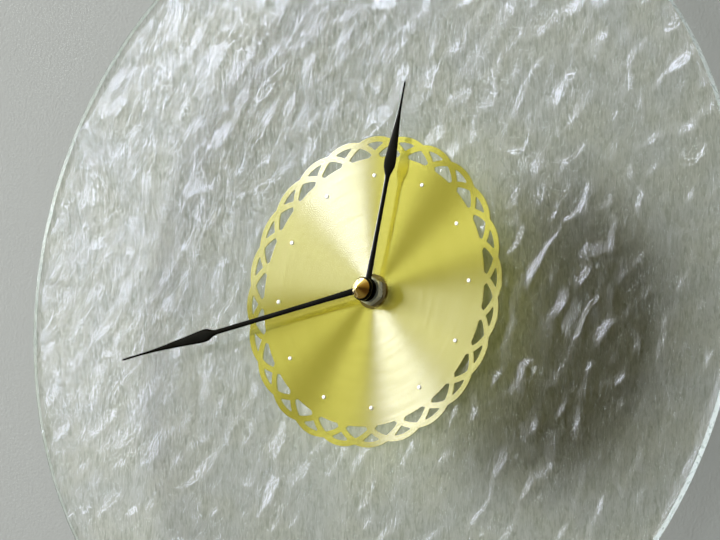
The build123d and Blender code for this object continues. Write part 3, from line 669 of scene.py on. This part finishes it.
receivers(glass_card("glass_veil_left", -0.17, -0.09, 0.7, 0.34, 0.44, 1.3, (0.98, 1.0, 1.04)), GLASS)
receivers(glass_card("glass_veil_top", 0.09, 0.18, 0.7, 0.40, 0.16, 1.5, (0.98, 1.0, 1.06)), GLASS)
# a far window that every bump of the relief can catch, wherever it lies on the disc
receivers(area("glass_sky", -47, 16, 3.4, 0.26, 0.36, 6.0, (0.94, 0.99, 1.10), roll=-30), GLASS)
# the same for someone who stands straight before the clock, or above and to its right
receivers(area("glass_sky_front", -9, 4, 3.4, 0.42, 0.55, 9.0, (0.94, 0.99, 1.10), roll=-30), GLASS)
receivers(area("glass_veil_front", 6, -5, 3.4, 1.4, 1.6, 0.5, (0.98, 1.0, 1.02)), GLASS)
receivers(area("glass_sky_high", -53, -19, 3.4, 0.42, 0.55, 8.0, (0.94, 0.99, 1.10), roll=-30), GLASS)
receivers(area("glass_veil_high", -48, -27, 3.4, 1.8, 1.8, 0.8, (0.98, 1.0, 1.02)), GLASS)
receivers(area("glass_edge_right", 80, -18, 2.4, 0.5, 1.4, 20.0, (0.97, 1.0, 1.0)), GLASS)
receivers(area("softbox_high", -52, 26, 2.4, 0.95, 1.30, 0.32, (1.0, 0.96, 0.66), roll=20), BRIGHT + GLASS, True)
receivers(area("window_left", -75, 17, 3.2, 0.72, 1.28, 67.0, (0.98, 1.0, 1.0)), BRIGHT + GLASS, True)
receivers(area("glass_window", -64, 20, 2.4, 0.30, 0.50, 7.0, (0.97, 1.0, 1.04)), GLASS)
receivers(area("back_left", -150, 35, 2.0, 1.2, 1.0, 5.0, (1.0, 0.99, 0.97)), GLASS, True)
receivers(area("back_right", 140, 40, 2.0, 1.2, 1.0, 3.0, (0.96, 0.98, 1.0)), GLASS, True)
receivers(area("glass_sky_back", 146, -9, 3.4, 0.42, 0.55, 8.0, (0.96, 0.99, 1.06)), GLASS)
blockers(receivers(area("cap_card", -112, 34, 1.2, 2.2, 2.2, 8.0, (1.0, 1.0, 1.0)), ["cap_nut"]), ["cap_nut"])
receivers(area("nut_card", 72, -8, 1.2, 0.6, 0.6, 6.0, (0.95, 1.0, 0.86)), ["hex_nut"])
receivers(area("marker_card", -15, 20, 1.5, 1.0, 1.0, 5.0, (1.0, 1.0, 1.0)), ["hour_markers"])

world = bpy.data.worlds.new("studio")
bpy.context.scene.world = world
world.use_nodes = True
wt = world.node_tree
wt.nodes.clear()
w_out = wt.nodes.new("ShaderNodeOutputWorld")
w_light = wt.nodes.new("ShaderNodeBackground")
w_light.inputs[0].default_value = (1.0, 0.92, 0.40, 1.0)
w_light.inputs[1].default_value = 0.017
w_gloss = wt.nodes.new("ShaderNodeBackground")
w_dir = wt.nodes.new("ShaderNodeTexCoord")
w_xyz = wt.nodes.new("ShaderNodeSeparateXYZ")
wt.links.new(w_dir.outputs["Generated"], w_xyz.inputs[0])


def w_ramp(source, stops):
    n = wt.nodes.new("ShaderNodeValToRGB")
    while len(n.color_ramp.elements) < len(stops):
        n.color_ramp.elements.new(0.5)
    for e, (pos, col) in zip(n.color_ramp.elements, stops):
        e.position, e.color = pos, col
    m = wt.nodes.new("ShaderNodeMapRange")
    m.inputs["From Min"].default_value = -1.0
    m.inputs["From Max"].default_value = 1.0
    wt.links.new(source, m.inputs["Value"])
    wt.links.new(m.outputs[0], n.inputs[0])
    return n.outputs[0]


# what polished parts see: a dim warm room to the right and below, a pale yellow ceiling
by_height = w_ramp(w_xyz.outputs[2], [(0.0, (0.20, 0.17, 0.09, 1)), (0.44, (0.16, 0.13, 0.06, 1)),
                                      (0.60, (0.42, 0.40, 0.14, 1)), (0.80, (0.80, 0.78, 0.34, 1)), (1.0, (0.9, 0.9, 0.6, 1))])
by_side = w_ramp(w_xyz.outputs[0], [(0.0, (1.0, 1.0, 1.0, 1)), (0.50, (1.0, 0.98, 0.9, 1)),
                                    (0.72, (0.45, 0.33, 0.25, 1)), (1.0, (0.30, 0.20, 0.15, 1))])
w_mul = wt.nodes.new("ShaderNodeMix")
w_mul.data_type, w_mul.blend_type = "RGBA", "MULTIPLY"
w_mul.inputs[0].default_value = 1.0
wt.links.new(by_height, w_mul.inputs[6])
wt.links.new(by_side, w_mul.inputs[7])
wt.links.new(w_mul.outputs[2], w_gloss.inputs[0])
w_gloss.inputs[1].default_value = 1.0
w_seen = wt.nodes.new("ShaderNodeBackground")
w_seen.inputs[0].default_value = (0.70, 0.71, 0.69, 1.0)
w_path = wt.nodes.new("ShaderNodeLightPath")
first = wt.nodes.new("ShaderNodeMath"); first.operation = "LESS_THAN"
wt.links.new(w_path.outputs["Diffuse Depth"], first.inputs[0]); first.inputs[1].default_value = 0.5
mirrored = wt.nodes.new("ShaderNodeMath"); mirrored.operation = "GREATER_THAN"
wt.links.new(w_path.outputs["Glossy Depth"], mirrored.inputs[0]); mirrored.inputs[1].default_value = 0.5
straight = wt.nodes.new("ShaderNodeMath"); straight.operation = "SUBTRACT"
straight.inputs[0].default_value = 1.0
wt.links.new(mirrored.outputs[0], straight.inputs[1])
seen = wt.nodes.new("ShaderNodeMath"); seen.operation = "MAXIMUM"
wt.links.new(w_path.outputs["Is Camera Ray"], seen.inputs[0])
wt.links.new(w_path.outputs["Is Transmission Ray"], seen.inputs[1])
seen_straight = wt.nodes.new("ShaderNodeMath"); seen_straight.operation = "MULTIPLY"
wt.links.new(seen.outputs[0], seen_straight.inputs[0])
wt.links.new(straight.outputs[0], seen_straight.inputs[1])
seen_first = wt.nodes.new("ShaderNodeMath"); seen_first.operation = "MULTIPLY"
wt.links.new(seen_straight.outputs[0], seen_first.inputs[0])
wt.links.new(first.outputs[0], seen_first.inputs[1])
gloss_first = wt.nodes.new("ShaderNodeMath"); gloss_first.operation = "MULTIPLY"
wt.links.new(mirrored.outputs[0], gloss_first.inputs[0])
wt.links.new(first.outputs[0], gloss_first.inputs[1])
m1 = wt.nodes.new("ShaderNodeMixShader")
wt.links.new(gloss_first.outputs[0], m1.inputs[0])
wt.links.new(w_light.outputs[0], m1.inputs[1])
wt.links.new(w_gloss.outputs[0], m1.inputs[2])
m2 = wt.nodes.new("ShaderNodeMixShader")
wt.links.new(seen_first.outputs[0], m2.inputs[0])
wt.links.new(m1.outputs[0], m2.inputs[1])
wt.links.new(w_seen.outputs[0], m2.inputs[2])
wt.links.new(m2.outputs[0], w_out.inputs[0])
world.cycles.sampling_method = "NONE"

# ---------------------------------------------------------------- camera, as in the photograph
b = direction(CAM_AZ, CAM_EL)
r = Vector((math.cos(math.radians(CAM_AZ)), math.sin(math.radians(CAM_AZ)), 0))
u = b.cross(r)
rho = math.radians(CAM_ROLL)
cx = math.cos(rho) * r + math.sin(rho) * u
cy = -math.sin(rho) * r + math.cos(rho) * u
cam_data = bpy.data.cameras.new("camera")
cam_data.sensor_width = 36.0
cam_data.lens = 408.6
cam_data.shift_x = -0.01793
cam_data.shift_y = 0.02957
cam_data.clip_end = 50.0
cam = bpy.data.objects.new("camera", cam_data)
rot = Matrix((cx, cy, b)).transposed()
cam.matrix_world = Matrix.Translation(Vector((0, Y_DIAL, 0)) + b * CAM_DIST) @ rot.to_4x4()
bpy.context.scene.collection.objects.link(cam)
bpy.context.scene.camera = cam

bpy.context.scene.view_settings.view_transform = "Standard"
